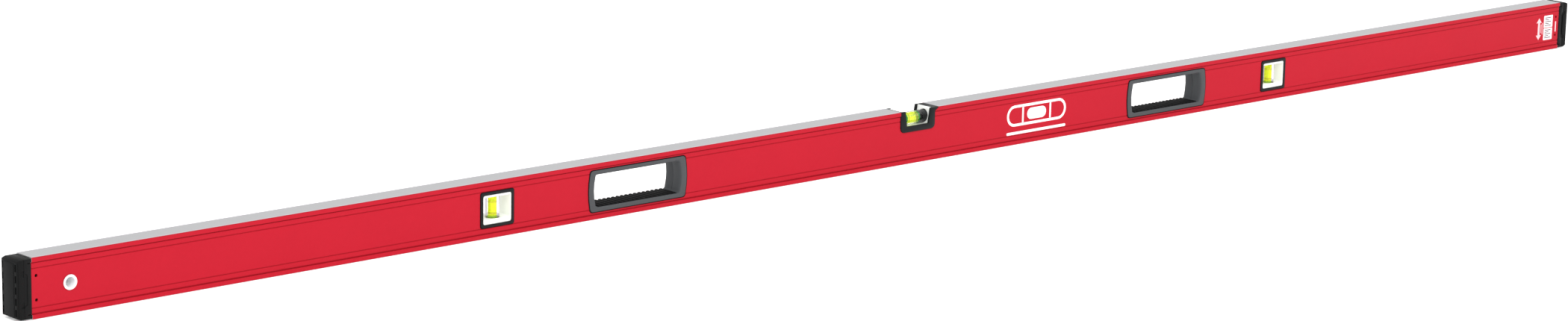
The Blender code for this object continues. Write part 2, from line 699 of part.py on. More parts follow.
def make_hang_bushes():
    bore, flange = HANG_BORE_RADIUS, HANG_FLANGE_RADIUS
    sleeve = bore + HANG_SLEEVE_WALL
    section = [
        (bore + HANG_ROUND, TRIM_FACE),
        (flange - HANG_ROUND, TRIM_FACE),
        (flange, TRIM_FACE - HANG_ROUND / 2),
        (flange, TRIM_BACK),
        (sleeve, TRIM_BACK),
        (sleeve, MID_GAP),
        (bore, MID_GAP),
        (bore, TRIM_FACE - HANG_ROUND),
    ]
    for face in (FRONT, REAR):
        name = "hang_bush_" + FACE_NAMES[face]
        place = {"location": (HANG_HOLE_X, 0, MID_HEIGHT), "turn": (-face * math.pi / 2, 0, 0)}
        turned(name, section, BUSH_SIDES, "bush_metal", closed=True, **place)


# ---------------------------------------------------------------- end caps


def make_end_plug(side, parent):
    """The rigid half of a cap: a nose inside the beam, and a block that continues its section."""
    name = "end_plug_" + SIDE_NAMES[side]
    start = BEAM_END + SEAT_GAP
    end = start + PLUG_BLOCK_LENGTH
    depth = HALF_WIDTH - CAP_SIDE_SHY
    low, high = CAP_SHY, LEVEL_HEIGHT - CAP_SHY
    plug = add_part(name, box(name, (start, -depth, low), (end, depth, high)), "cap_plastic", parent=parent)
    nose_depth = WEB_INSIDE - SEAT_GAP
    nose_low = FLANGE + SEAT_GAP
    nose_high = LEVEL_HEIGHT - nose_low
    nose_low_corner = (BEAM_END - PLUG_NOSE, -nose_depth, nose_low)
    join(plug, box("nose", nose_low_corner, (start + OVERCUT, nose_depth, nose_high)), "nose")
    key_length, key_depth, key_height = PLUG_KEY
    key_low = (end - OVERCUT, -key_depth / 2, MID_HEIGHT - key_height / 2)
    key_high = (end + key_length, key_depth / 2, MID_HEIGHT + key_height / 2)
    join(plug, box("key", key_low, key_high), "key")
    hollow_low = (BEAM_END - PLUG_NOSE - OVERCUT, -nose_depth + PLUG_WALL, nose_low + PLUG_WALL)
    hollow_high = (start, nose_depth - PLUG_WALL, nose_high - PLUG_WALL)
    cut(plug, box("hollow", hollow_low, hollow_high), "hollow")
    wall = start + RECESS_SETBACK
    recess = [
        (wall, RECESS_WALL[0]),
        (end, RECESS_MOUTH[0]),
        (end + OVERCUT, RECESS_MOUTH[0]),
        (end + OVERCUT, RECESS_MOUTH[1]),
        (end, RECESS_MOUTH[1]),
        (wall, RECESS_WALL[1]),
    ]
    groove_high = RAIL_BAND + RAIL_GROOVE
    for face in (FRONT, REAR):
        label = FACE_NAMES[face]
        ends = sorted((face * WEB_FACE, face * (HALF_WIDTH + OVERCUT)))
        cut(plug, prism("recess", recess, "Y", *ends), "recess_" + label)
        for low_edge in (RAIL_BAND, LEVEL_HEIGHT - groove_high):
            ends = sorted((face * (WEB_FACE - GROOVE_DEPTH), face * (HALF_WIDTH + OVERCUT)))
            groove_low = (start - OVERCUT, ends[0], low_edge)
            groove = box("groove", groove_low, (wall, ends[1], low_edge + RAIL_GROOVE))
            cut(plug, groove, "groove_" + label)


def tongue_outline(start, up):
    """The notch above or below the bumper's tongue, which carries on the plug's recess."""
    near, far = TONGUE_REACH
    heights = (TONGUE_ROOT, TONGUE_TIP, TONGUE_EDGE)
    root, tip, edge = (LEVEL_HEIGHT - height if up else height for height in heights)
    return [
        (start - OVERCUT, root),
        (start, root),
        (start + far, tip),
        (start + near, edge),
        (start - OVERCUT, edge),
    ]


def make_end_bumper(side, parent):
    """The soft half of a cap: a tapered block with a raised end panel and a column of slots beside it."""
    name = "end_bumper_" + SIDE_NAMES[side]
    start = BEAM_END + PLUG_BLOCK_LENGTH + 2 * SEAT_GAP
    end = LEVEL_LENGTH / 2
    proud, panel_half, panel_tall = BUMPER_PANEL
    shoulder = end - proud
    depth = HALF_WIDTH - CAP_SIDE_SHY
    tall = LEVEL_HEIGHT - 2 * CAP_SHY
    bm = bmesh.new()
    bmesh.ops.create_cube(bm, size=1)
    straight = shoulder - BUMPER_TAPER_LENGTH - start
    bmesh.ops.scale(bm, vec=(straight, 2 * depth, tall), verts=bm.verts)
    bmesh.ops.translate(bm, vec=(start + straight / 2, 0, MID_HEIGHT), verts=bm.verts)
    cap = max(bm.faces, key=lambda face: face.calc_center_median().x)
    steps = (
        (BUMPER_TAPER_LENGTH - BUMPER_EDGE, 0.0, BUMPER_TAPER),
        (BUMPER_EDGE, BUMPER_EDGE, BUMPER_EDGE),
    )
    wide, high = depth, tall / 2
    for out, draw_in, draw_down in steps:
        cap = bmesh.ops.extrude_discrete_faces(bm, faces=[cap])["faces"][0]
        size = (1, (wide - draw_in) / wide, (high - draw_down) / high)
        middle = Matrix.Translation((0, 0, -MID_HEIGHT))
        bmesh.ops.scale(bm, vec=size, space=middle, verts=cap.verts)
        bmesh.ops.translate(bm, vec=(out, 0, 0), verts=cap.verts)
        wide, high = wide - draw_in, high - draw_down
    bumper = add_part(name, mesh_from(bm, name), "cap_rubber", parent=parent)
    panel_low = (shoulder - OVERCUT, -panel_half, MID_HEIGHT - panel_tall)
    join(bumper, box("panel", panel_low, (end, panel_half, MID_HEIGHT + panel_tall)), "panel")
    key_length, key_depth, key_height = PLUG_KEY
    pocket_depth = key_depth / 2 + SEAT_GAP
    pocket_tall = key_height / 2 + SEAT_GAP
    pocket_low = (start - OVERCUT, -pocket_depth, MID_HEIGHT - pocket_tall)
    pocket_high = (start + key_length, pocket_depth, MID_HEIGHT + pocket_tall)
    cut(bumper, box("pocket", pocket_low, pocket_high), "pocket")
    slot_wide, slot_tall = BUMPER_SLOT
    line_back, line_wide, line_deep, line_tall = BUMPER_LINE
    for face in (FRONT, REAR):
        label = FACE_NAMES[face]
        for i in range(BUMPER_SLOTS):
            middle = MID_HEIGHT + (i - (BUMPER_SLOTS - 1) / 2) * BUMPER_SLOT_PITCH
            ends = sorted(face * (BUMPER_SLOT_Y + share * slot_wide) for share in (-0.5, 0.5))
            slot_low = (shoulder - BUMPER_SLOT_DEPTH, ends[0], middle - slot_tall / 2)
            slot_high = (end + OVERCUT, ends[1], middle + slot_tall / 2)
            cut(bumper, box("slot", slot_low, slot_high), "slot_" + label)
        ends = sorted((face * WEB_FACE, face * (HALF_WIDTH + OVERCUT)))
        for up in (False, True):
            notch = prism("tongue", tongue_outline(start, up), "Y", *ends)
            cut(bumper, notch, "tongue_" + label)
        ends = sorted((face * (depth - line_deep), face * (HALF_WIDTH + OVERCUT)))
        line_low = (shoulder - line_back - line_wide, ends[0], MID_HEIGHT - line_tall)
        line_high = (shoulder - line_back, ends[1], MID_HEIGHT + line_tall)
        cut(bumper, box("line", line_low, line_high), "line_" + label)


def make_end_caps():
    for side, turn in ((LEFT, math.pi), (RIGHT, 0)):
        axis = add_empty("end_cap_" + SIDE_NAMES[side] + "_axis", turn=(0, 0, turn))
        make_end_plug(side, axis)
        make_end_bumper(side, axis)


make_beam()
make_grips()
make_plumb_windows()
make_centre_window()
make_hang_bushes()
make_end_caps()
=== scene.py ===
import logging
import math
from abc import ABC, abstractmethod
from dataclasses import dataclass
from enum import Enum
from typing import Any, Callable, Sequence, Union

import bmesh
import bpy
from mathutils import Matrix, Vector


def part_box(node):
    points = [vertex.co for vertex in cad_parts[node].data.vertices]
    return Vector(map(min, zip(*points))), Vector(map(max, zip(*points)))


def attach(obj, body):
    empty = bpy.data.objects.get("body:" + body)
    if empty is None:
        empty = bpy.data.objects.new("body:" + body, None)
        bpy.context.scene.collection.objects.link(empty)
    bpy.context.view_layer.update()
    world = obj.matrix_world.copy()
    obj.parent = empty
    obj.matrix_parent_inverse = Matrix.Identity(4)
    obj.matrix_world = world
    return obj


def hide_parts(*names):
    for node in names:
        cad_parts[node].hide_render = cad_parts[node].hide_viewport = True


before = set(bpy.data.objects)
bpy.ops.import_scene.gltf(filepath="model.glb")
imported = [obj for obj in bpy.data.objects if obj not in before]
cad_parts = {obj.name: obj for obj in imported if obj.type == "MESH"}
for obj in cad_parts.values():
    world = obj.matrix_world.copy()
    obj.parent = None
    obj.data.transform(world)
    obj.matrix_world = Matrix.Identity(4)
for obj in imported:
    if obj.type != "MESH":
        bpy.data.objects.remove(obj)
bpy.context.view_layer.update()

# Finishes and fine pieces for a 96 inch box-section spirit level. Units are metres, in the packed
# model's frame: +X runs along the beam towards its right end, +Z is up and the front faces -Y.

LOG = logging.getLogger("spirit_level")

Colour = tuple[float, float, float]
Point = tuple[float, float, float]
Spot = tuple[float, float]

TURN = 2 * math.pi
NODE_MERGE = 0.000002
LATHE_MERGE = 0.000001
SLICE_TOLERANCE = 0.0000001
FLAT_ANGLE = 0.6
LATHE_STEPS = 64
BUSH_STEPS = 72
LEVEL_BODY = "level_body"


class Side(Enum):
    """The two ends of the level."""

    LEFT = -1
    RIGHT = 1

    @property
    def label(self) -> str:
        """The end's name within node names."""
        return self.name.lower()


class Face(Enum):
    """The two broad faces of the level."""

    FRONT = -1
    REAR = 1

    @property
    def label(self) -> str:
        """The face's name within node names."""
        return self.name.lower()


class Axis(Enum):
    """The axis that a lathed piece stands on, as a turn from +Z."""

    X = "X"
    Y = "Y"
    Z = "Z"

    @property
    def turn(self) -> Matrix:
        """The matrix that takes +Z onto this axis."""
        if self is Axis.X:
            return Matrix.Rotation(math.pi / 2, 4, "Y")
        if self is Axis.Y:
            return Matrix.Rotation(-math.pi / 2, 4, "X")
        return Matrix.Identity(4)


# ---------------------------------------------------------------- shader graphs


class Term:
    """A shader value that takes part in sums: each operator adds one Math node."""

    def __init__(self, graph: "Graph", socket: bpy.types.NodeSocket) -> None:
        """Wraps an output socket.

        Args:
            graph: The graph that the socket belongs to.
            socket: The output socket.
        """
        self.graph = graph
        self.socket = socket

    def math(self, operation: str, *values: "Value", clamp: bool = False) -> "Term":
        """Adds a Math node.

        Args:
            operation: Blender's name for the operation.
            values: The node's inputs, in order.
            clamp: Whether the result is held between 0 and 1.

        Returns:
            The node's result.
        """
        settings = {"operation": operation, "use_clamp": clamp}
        return self.graph.node("ShaderNodeMath", settings, dict(enumerate(values)))

    def __add__(self, other: "Value") -> "Term":
        """The sum."""
        return self.math("ADD", self, other)

    def __radd__(self, other: "Value") -> "Term":
        """The sum, from the right."""
        return self.math("ADD", other, self)

    def __sub__(self, other: "Value") -> "Term":
        """The difference."""
        return self.math("SUBTRACT", self, other)

    def __rsub__(self, other: "Value") -> "Term":
        """The difference, from the right."""
        return self.math("SUBTRACT", other, self)

    def __mul__(self, other: "Value") -> "Term":
        """The product."""
        return self.math("MULTIPLY", self, other)

    def __rmul__(self, other: "Value") -> "Term":
        """The product, from the right."""
        return self.math("MULTIPLY", other, self)

    def __truediv__(self, other: "Value") -> "Term":
        """The quotient."""
        return self.math("DIVIDE", self, other)

    def __abs__(self) -> "Term":
        """The absolute value."""
        return self.math("ABSOLUTE", self)

    def above(self, limit: float, blur: float) -> "Term":
        """1 where the value is over a limit and 0 where it is under, over a short ramp.

        Args:
            limit: The middle of the ramp.
            blur: The ramp's length.

        Returns:
            The mask.
        """
        ramp = (self - (limit - blur / 2)) / blur
        return self.math("ADD", ramp, 0.0, clamp=True)

    def either(self, other: "Value") -> "Term":
        """The larger of two values."""
        return self.math("MAXIMUM", self, other)

    def wave(self, pitch: float) -> "Term":
        """A sine of the value, from 0 to 1, that repeats at a pitch."""
        return self.math("SINE", self * (TURN / pitch)) * 0.5 + 0.5


Value = Union[Term, float, Sequence[float]]


class Graph:
    """The nodes of one material, built round its Principled shader."""

    def __init__(self, name: str) -> None:
        """Makes the material.

        Args:
            name: The material's name.
        """
        self.material = bpy.data.materials.new(name)
        self.material.use_nodes = True
        self.tree = self.material.node_tree
        self.shader = self.tree.nodes["Principled BSDF"]

    def join(self, value: Value, socket: bpy.types.NodeSocket) -> None:
        """Links a value to an input socket, or sets the socket to it."""
        if isinstance(value, Term):
            self.tree.links.new(value.socket, socket)
        else:
            socket.default_value = value

    def node(
        self, kind: str, settings: dict[str, Any], sockets: dict[Any, Value], out: Union[int, str] = 0
    ) -> Term:
        """Adds a node: its settings first, then its sockets.

        Args:
            kind: The node's type.
            settings: Attributes of the node.
            sockets: Input values by index or name.
            out: Which output to return.

        Returns:
            The chosen output.
        """
        node = self.tree.nodes.new(kind)
        for key, value in settings.items():
            setattr(node, key, value)
        for key, value in sockets.items():
            self.join(value, node.inputs[key])
        return Term(self, node.outputs[out])

    def position(self) -> Term:
        """The point on the object, in metres."""
        return self.node("ShaderNodeTexCoord", {}, {}, "Object")

    def parts(self, vector: Term) -> tuple[Term, Term, Term]:
        """The three components of a vector."""
        split = self.node("ShaderNodeSeparateXYZ", {}, {0: vector})
        outputs = split.socket.node.outputs
        return Term(self, outputs[0]), Term(self, outputs[1]), Term(self, outputs[2])

    def stretched(self, vector: Term, scale: Point) -> Term:
        """A vector multiplied along each axis."""
        return self.node("ShaderNodeVectorMath", {"operation": "MULTIPLY"}, {0: vector, 1: scale})

    def noise(self, vector: Term, scale: float, detail: float = 2.0, rough: float = 0.5) -> Term:
        """Smooth noise from 0 to 1.

        Args:
            vector: Where it is read.
            scale: Its features in each metre.
            detail: Its octaves.
            rough: How strong the fine octaves are.

        Returns:
            The noise.
        """
        sockets = {"Vector": vector, "Scale": scale, "Detail": detail, "Roughness": rough}
        return self.node("ShaderNodeTexNoise", {}, sockets, "Fac")

    def blend(self, share: Value, first: Union[Term, Colour], second: Union[Term, Colour]) -> Term:
        """A mix of two colours.

        Args:
            share: How much of the second colour there is.
            first: The colour at 0.
            second: The colour at 1.

        Returns:
            The mixed colour.
        """
        pair = [colour if isinstance(colour, Term) else (*colour, 1.0) for colour in (first, second)]
        sockets = {0: share, 6: pair[0], 7: pair[1]}
        return self.node("ShaderNodeMix", {"data_type": "RGBA", "clamp_factor": True}, sockets, 2)

    def bump(self, height: Term, depth: float, strength: float = 1.0) -> Term:
        """A normal that follows a height.

        Args:
            height: The height, from 0 to 1.
            depth: What a height of 1 stands for, in metres.
            strength: The share of the effect.

        Returns:
            The normal.
        """
        sockets = {"Strength": strength, "Distance": depth, "Height": height}
        return self.node("ShaderNodeBump", {}, sockets)

    def feed(self, **inputs: Value) -> None:
        """Sets the Principled shader's sockets, by name with _ for each space."""
        for key, value in inputs.items():
            self.join(value, self.shader.inputs[key.replace("_", " ")])


# ---------------------------------------------------------------- finishes


def toned(colour: Colour, share: float) -> Colour:
    """A colour made darker or lighter, and held at 1."""
    return tuple(min(1.0, c * share) for c in colour)


@dataclass(frozen=True)
class Finish(ABC):
    """What a surface is made of. A finish makes its material once."""

    name: str

    def material(self) -> bpy.types.Material:
        """The finish's material."""
        known = bpy.data.materials.get(self.name)
        if known is not None:
            return known
        graph = Graph(self.name)
        self.paint(graph)
        return graph.material

    @abstractmethod
    def paint(self, graph: Graph) -> None:
        """Builds the finish's nodes.

        Args:
            graph: The material to build in.
        """


@dataclass(frozen=True)
class CoatedExtrusion(Finish):
    """A powder-coated aluminium box section with milled measuring faces and bare cut ends, with painted shade
    in its grooves and on its chamfer edges.
    """

    height: float = 0.0635
    half_end: float = 1.2015
    inside: float = 0.01136
    coat: Colour = (0.415, 0.0100, 0.0225)
    # Painted shade: the darker colour that the grooves and the chamfer edges are blended towards.
    shade: Colour = (0.295, 0.0055, 0.0115)
    milled: Colour = (0.60, 0.575, 0.61)
    bare: Colour = (0.50, 0.50, 0.51)
    bare_depth: float = 0.00012
    chamfer_depth: float = 0.00055
    chamfer_flank: float = 0.01370
    web_flank: float = 0.0126
    lip_span: Spot = (0.0062, 0.0048)
    line_span: Spot = (0.0122, 0.0108)
    mill_pitch: float = 0.0016
    specular: float = 0.06

    def stripe(self, from_middle: Term, span: Spot, blur: float) -> Term:
        """A stripe on both sides of the beam's middle height.

        Args:
            from_middle: The height above or below the middle.
            span: The stripe's far and near edges, measured from the measuring face.
            blur: The length of its ramps.

        Returns:
            The stripe's mask.
        """
        far, near = (from_middle.above(self.height / 2 - edge, blur) for edge in span)
        return far - near

    def paint(self, graph: Graph) -> None:
        """Paints the coat, painted shade in the grooves and on the chamfer edges, and the milled and cut
        faces.
        """
        point = graph.position()
        along, across, up = graph.parts(point)
        middle = self.height / 2
        from_middle = abs(up - middle)
        top = from_middle.above(middle - self.bare_depth, 0.00008)
        # The chamfer edges at the top and bottom of each face get painted shade.
        flank = abs(across).above(self.chamfer_flank, 0.0001)
        edge = from_middle.above(middle - self.chamfer_depth, 0.0001) * flank
        cut = abs(along).above(self.half_end - self.bare_depth, 0.00008)
        hollow = 1.0 - abs(across).above(self.inside, 0.00006)
        lip = self.stripe(from_middle, self.lip_span, 0.0003)
        line = self.stripe(from_middle, self.line_span, 0.0004)
        skin = abs(across).above(self.web_flank, 0.0001)
        # Painted shade in the two grooves on each side of the outer skin, mixed with the chamfer-edge shade.
        painted_groove_shade = (lip * 0.62).either(line * 0.42) * skin
        tone = graph.noise(point, 14.0, 3.0) * 0.5 + graph.noise(point, 260.0, 2.0) * 0.5
        coat = graph.blend(tone, toned(self.coat, 0.93), toned(self.coat, 1.07))
        coat = graph.blend(painted_groove_shade.either(edge * 0.85), coat, self.shade)
        mill = graph.stretched(point, (900.0, 40.0, 40.0))
        swirl = graph.noise(point, 60.0, 2.0) * 0.004
        band = (along + across * 0.35 + swirl).wave(self.mill_pitch)
        streak = graph.noise(mill, 1.0, 3.0, 0.6)
        cloud = graph.noise(point, 9.0, 3.0)
        shine = band * 0.25 + streak * 0.45 + cloud * 0.3
        steel = graph.blend(shine, toned(self.milled, 0.88), toned(self.milled, 1.07))
        metal = top.either(cut).either(hollow)
        bare = graph.blend(cut.either(hollow), steel, self.bare)
        peel = graph.noise(point, 1100.0, 3.0, 0.55)
        coat_rough = peel * 0.12 + tone * 0.08 + 0.26
        metal_rough = streak * 0.14 + 0.30
        rough = coat_rough * (1.0 - metal) + metal_rough * metal
        height = peel * (1.0 - metal) + (band * 0.4 + streak * 0.6) * metal * 0.5
        graph.feed(
            Base_Color=graph.blend(metal, coat, bare),
            Roughness=rough,
            Metallic=metal * 0.92,
            Normal=graph.bump(height, 0.00004, 0.55),
        )
        graph.feed(Specular_IOR_Level=self.specular)


@dataclass(frozen=True)
class Moulded(Finish):
    """Moulded plastic or rubber with a fine eroded grain and faint flow marks."""

    colour: Colour = (0.02, 0.02, 0.02)
    roughness: float = 0.5
    grain: float = 1400.0
    depth: float = 0.00005
    variation: float = 0.18
    specular: float = 0.5

    def paint(self, graph: Graph) -> None:
        """Paints the grain and the flow marks."""
        point = graph.position()
        fine = graph.noise(point, self.grain, 3.0, 0.6)
        flow = graph.noise(graph.stretched(point, (18.0, 60.0, 60.0)), 1.0, 3.0)
        cloud = graph.noise(point, 120.0, 2.0)
        tone = fine * 0.35 + flow * 0.4 + cloud * 0.25
        low, high = toned(self.colour, 1 - self.variation), toned(self.colour, 1 + self.variation)
        graph.feed(
            Base_Color=graph.blend(tone, low, high),
            Roughness=fine * 0.16 + flow * 0.08 + (self.roughness - 0.12),
            Normal=graph.bump(fine, self.depth, 0.6),
        )
        graph.feed(Specular_IOR_Level=self.specular)


@dataclass(frozen=True)
class Enamelled(Finish):
    """Smooth white or pale plastic, slightly uneven, with a painted glow where its glow is set."""

    colour: Colour = (0.86, 0.87, 0.84)
    roughness: float = 0.32
    # Painted glow: emission in the plastic's own colour.
    glow: float = 0.0

    def paint(self, graph: Graph) -> None:
        """Paints the faint clouding, the gloss and the painted glow."""
        point = graph.position()
        cloud = graph.noise(point, 90.0, 3.0)
        fine = graph.noise(point, 1600.0, 2.0)
        graph.feed(
            Base_Color=graph.blend(cloud, toned(self.colour, 0.965), self.colour),
            Roughness=fine * 0.10 + cloud * 0.08 + (self.roughness - 0.09),
            Normal=graph.bump(fine, 0.00002, 0.4),
        )
        graph.feed(Emission_Color=(*self.colour, 1.0), Emission_Strength=self.glow)


@dataclass(frozen=True)
class Clear(Finish):
    """Clear acrylic, spirit or air, with a tint, faint polishing marks and an optional painted glow."""

    tint: Colour = (0.95, 0.98, 0.95)
    ior: float = 1.49
    roughness: float = 0.01
    clarity: float = 1.0
    # Painted glow: emission in the tint's colour.
    glow: float = 0.0
    rim: Colour = (0.95, 0.98, 0.95)
    rim_share: float = 0.0
    rim_blend: float = 0.35

    def paint(self, graph: Graph) -> None:
        """Paints the tint, the darker look of thick walls at the rim, the polish and the painted glow."""
        point = graph.position()
        mark = graph.noise(point, 700.0, 2.0)
        cloud = graph.noise(point, 180.0, 2.0)
        tint = graph.blend(cloud, toned(self.tint, 0.97), self.tint)
        if self.rim_share > 0:
            facing = graph.node("ShaderNodeLayerWeight", {}, {0: self.rim_blend}, 1)
            tint = graph.blend(facing * self.rim_share, tint, self.rim)
        graph.feed(Base_Color=tint, Roughness=mark * 0.02 + self.roughness)
        graph.feed(IOR=self.ior, Transmission_Weight=self.clarity)
        graph.feed(Emission_Color=(*self.tint, 1.0), Emission_Strength=self.glow)


@dataclass(frozen=True)
class Ink(Finish):
    """Screen-printed ink on the coat, slightly thin in places."""

    colour: Colour = (0.90, 0.88, 0.88)
    under: Colour = (0.75, 0.30, 0.33)
    thin: float = 0.12

    def paint(self, graph: Graph) -> None:
        """Paints the ink and the specks where the coat shows through."""
        point = graph.position()
        speck = graph.noise(point, 1500.0, 3.0, 0.65)
        cloud = graph.noise(point, 110.0, 2.0)
        share = (speck * 0.6 + cloud * 0.4) * self.thin
        graph.feed(
            Base_Color=graph.blend(share, self.colour, self.under),
            Roughness=speck * 0.14 + 0.34,
            Normal=graph.bump(speck, 0.00003, 0.4),
        )


@dataclass(frozen=True)
class PaleFloor(Finish):
    """The plain pale floor."""

    colour: Colour = (0.96, 0.96, 0.96)
    glow: float = 0.34

    def paint(self, graph: Graph) -> None:
        """Paints the floor."""
        graph.feed(Base_Color=(*self.colour, 1.0), Roughness=0.9, Specular_IOR_Level=0.1)
        graph.feed(Emission_Color=(1.0, 1.0, 1.0, 1.0), Emission_Strength=self.glow)


RED_COAT = CoatedExtrusion("satin_red_extrusion")
CAP_PLASTIC = Moulded(
    "cap_block_plastic", (0.0045, 0.0047, 0.0049), grain=1300.0, variation=0.2, specular=0.12
)
CAP_RUBBER = Moulded(
    "cap_bumper_rubber",
    (0.0045, 0.0047, 0.0048),
    roughness=0.62,
    grain=1000.0,
    depth=0.00007,
    variation=0.2,
    specular=0.10,
)
GRIP_PLASTIC = Moulded("grip_plastic", (0.0090, 0.0106, 0.0110), roughness=0.40, specular=0.17)
GRIP_RUBBER = Moulded(
    "grip_rib_rubber",
    (0.0040, 0.0040, 0.0044),
    roughness=0.70,
    grain=1100.0,
    depth=0.00006,
    variation=0.2,
    specular=0.12,
)
FRAME_PLASTIC = Moulded(
    "window_frame_plastic", (0.0072, 0.0080, 0.0086), roughness=0.42, grain=1500.0, specular=0.14
)
SLEEVE_PLASTIC = Moulded("sleeve_plastic", (0.006, 0.007, 0.007), roughness=0.30, grain=1500.0, depth=0.00002)
# Black strips of painted shadow round the grip rims and the plumb bezels.
SHADOW_STRIP_BLACK = Moulded(
    "rim_seal_rubber",
    (0.0035, 0.0035, 0.0038),
    roughness=0.75,
    grain=1200.0,
    depth=0.00003,
    variation=0.2,
    specular=0.08,
)
RING_LINE = Moulded(
    "reading_line_black", (0.012, 0.010, 0.006), roughness=0.4, grain=1500.0, depth=0.00001
)
PLUMB_LINE = Moulded(
    "reading_line_amber", (0.42, 0.16, 0.02), roughness=0.4, grain=1500.0, depth=0.00001
)
WHITE_PLASTIC = Enamelled("vial_block_white", (0.90, 0.925, 0.89), roughness=0.30)
PALE_BUSH = Enamelled("hang_bush_pale", (0.83, 0.84, 0.85), roughness=0.28)
# The plug carries a faint painted glow.
PLUG_WHITE = Enamelled("vial_plug_white", (0.86, 0.88, 0.84), roughness=0.35, glow=0.05)
CENTRE_ACRYLIC = Clear("centre_acrylic", ior=1.45)
PLUMB_ACRYLIC = Clear("plumb_acrylic", (0.87, 0.84, 0.91), ior=1.18, rim=(0.45, 0.36, 0.50), rim_share=1.0)
# The green seals, the two spirits and the bubble carry a painted glow.
PLUMB_SEAL = Clear("vial_foot_green", (0.45, 0.72, 0.12), ior=1.1, roughness=0.05, clarity=0.4, glow=0.05)
SEAL_GREEN = Clear("vial_seal_green", (0.05, 0.42, 0.05), ior=1.1, roughness=0.05, clarity=0.35, glow=0.02)
CENTRE_SPIRIT = Clear("centre_spirit", (0.82, 0.93, 0.04), ior=0.94, roughness=0.02, clarity=0.72, glow=0.10)
PLUMB_SPIRIT = Clear("plumb_spirit", (0.84, 0.95, 0.04), ior=1.16, roughness=0.02, clarity=0.65, glow=0.12)
SPIRIT_AIR = Clear("bubble_air", (0.95, 0.99, 0.55), ior=0.78, roughness=0.0, clarity=0.95, glow=0.05)
WHITE_INK = Ink("printed_white")
PINK_INK = Ink("printed_thin_white", (0.88, 0.66, 0.68), under=(0.75, 0.12, 0.15), thin=0.55)
GREY_INK = Ink("printed_grey", (0.10, 0.06, 0.07), under=(0.3, 0.1, 0.1), thin=0.1)
FLOOR = PaleFloor("pale_floor")


# ---------------------------------------------------------------- piece making


def soften(bm: bmesh.types.BMesh, width: float, steps: int = 2, angle: float = 28.0) -> None:
    """Rounds every edge that is sharper than an angle.

    Args:
        bm: The mesh.
        width: How far each rounding reaches.
        steps: The rounding's segments.
        angle: The least angle that is rounded, in degrees.
    """
    sharp = [e for e in bm.edges if e.is_manifold and e.calc_face_angle(0.0) > math.radians(angle)]
    bmesh.ops.bevel(
        bm,
        geom=sharp,
        offset=width,
        offset_type="OFFSET",
        segments=steps,
        profile=0.5,
        affect="EDGES",
        clamp_overlap=True,
        material=-1,
    )


def node_copy(node: str) -> bmesh.types.BMesh:
    """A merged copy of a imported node's mesh, with its flat faces whole again."""
    bm = bmesh.new()
    bm.from_mesh(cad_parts[node].data)
    bmesh.ops.remove_doubles(bm, verts=bm.verts, dist=NODE_MERGE)
    bmesh.ops.dissolve_limit(bm, angle_limit=math.radians(FLAT_ANGLE), verts=bm.verts, edges=bm.edges)
    return bm


def lathe(profile: Sequence[Spot], steps: int, closed: bool = False) -> bmesh.types.BMesh:
    """Turns a profile about Z.

    Args:
        profile: Points of radius and height. An open profile starts and ends on the axis.
        steps: How many steps the turn takes.
        closed: Whether the last point joins the first.

    Returns:
        The turned mesh, with its faces outwards.
    """
    bm = bmesh.new()
    verts = [bm.verts.new((radius, 0.0, height)) for radius, height in profile]
    pairs = list(zip(verts, verts[1:]))
    if closed:
        pairs.append((verts[-1], verts[0]))
    edges = [bm.edges.new(pair) for pair in pairs]
    bmesh.ops.spin(
        bm, geom=[*verts, *edges], cent=(0, 0, 0), axis=(0, 0, 1), angle=TURN, steps=steps, use_merge=True
    )
    bmesh.ops.remove_doubles(bm, verts=bm.verts, dist=LATHE_MERGE)
    bmesh.ops.recalc_face_normals(bm, faces=bm.faces)
    return bm


def rod(radius: float, low: float, high: float) -> bmesh.types.BMesh:
    """A solid round bar about Z."""
    return lathe([(0.0, high), (radius, high), (radius, low), (0.0, low)], LATHE_STEPS)


def tube(inner: float, outer: float, low: float, high: float) -> bmesh.types.BMesh:
    """A round tube about Z."""
    return lathe([(outer, high), (outer, low), (inner, low), (inner, high)], LATHE_STEPS, closed=True)


def put(bm: bmesh.types.BMesh, place: Point, axis: Axis = Axis.Z) -> None:
    """Turns a mesh onto an axis and moves it to its place."""
    bmesh.ops.transform(bm, matrix=Matrix.Translation(place) @ axis.turn, verts=bm.verts)


def finish_piece(
    bm: bmesh.types.BMesh,
    name: str,
    body: str,
    finish: Finish,
    stands_for: Sequence[str] = (),
    crease: float = 32.0,
) -> bpy.types.Object:
    """Makes a piece from a mesh and ties it to its body.

    Args:
        bm: The mesh, in place. It is freed.
        name: The piece's name.
        body: The body that it moves with.
        finish: What it is made of.
        stands_for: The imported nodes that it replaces.
        crease: Edges sharper than this many degrees stay sharp in the shading.

    Returns:
        The new object.
    """
    mesh = bpy.data.meshes.new(name)
    bm.to_mesh(mesh)
    bm.free()
    stale = mesh.attributes.get("custom_normal")
    if stale is not None:
        mesh.attributes.remove(stale)
    mesh.shade_smooth()
    mesh.set_sharp_from_angle(angle=math.radians(crease))
    mesh.materials.clear()
    mesh.materials.append(finish.material())
    piece = bpy.data.objects.new(name, mesh)
    bpy.context.scene.collection.objects.link(piece)
    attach(piece, body)
    if stands_for:
        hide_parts(*stands_for)
    return piece


def dress_node(node: str, finish: Finish) -> bpy.types.Object:
    """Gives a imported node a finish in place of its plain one."""
    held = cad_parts[node]
    for place in held.material_slots:
        place.material = finish.material()
    return held


def rounded_node(
    node: str, body: str, finish: Finish, width: float, steps: int = 2
) -> bpy.types.Object:
    """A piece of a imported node's shape with rounded edges, which stands for that node."""
    bm = node_copy(node)
    soften(bm, width, steps)
    return finish_piece(bm, node + "_moulding", body, finish, [node])


class Assembly(ABC):
    """A group of pieces that belong together."""

    @abstractmethod
    def build(self) -> list[bpy.types.Object]:
        """Makes the assembly's pieces.

        Returns:
            The pieces.
        """


# ---------------------------------------------------------------- beam and caps


class Beam(Assembly):
    """The box-section beam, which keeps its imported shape."""

    def build(self) -> list[bpy.types.Object]:
        """Dresses the beam."""
        return [dress_node("box_beam", RED_COAT)]


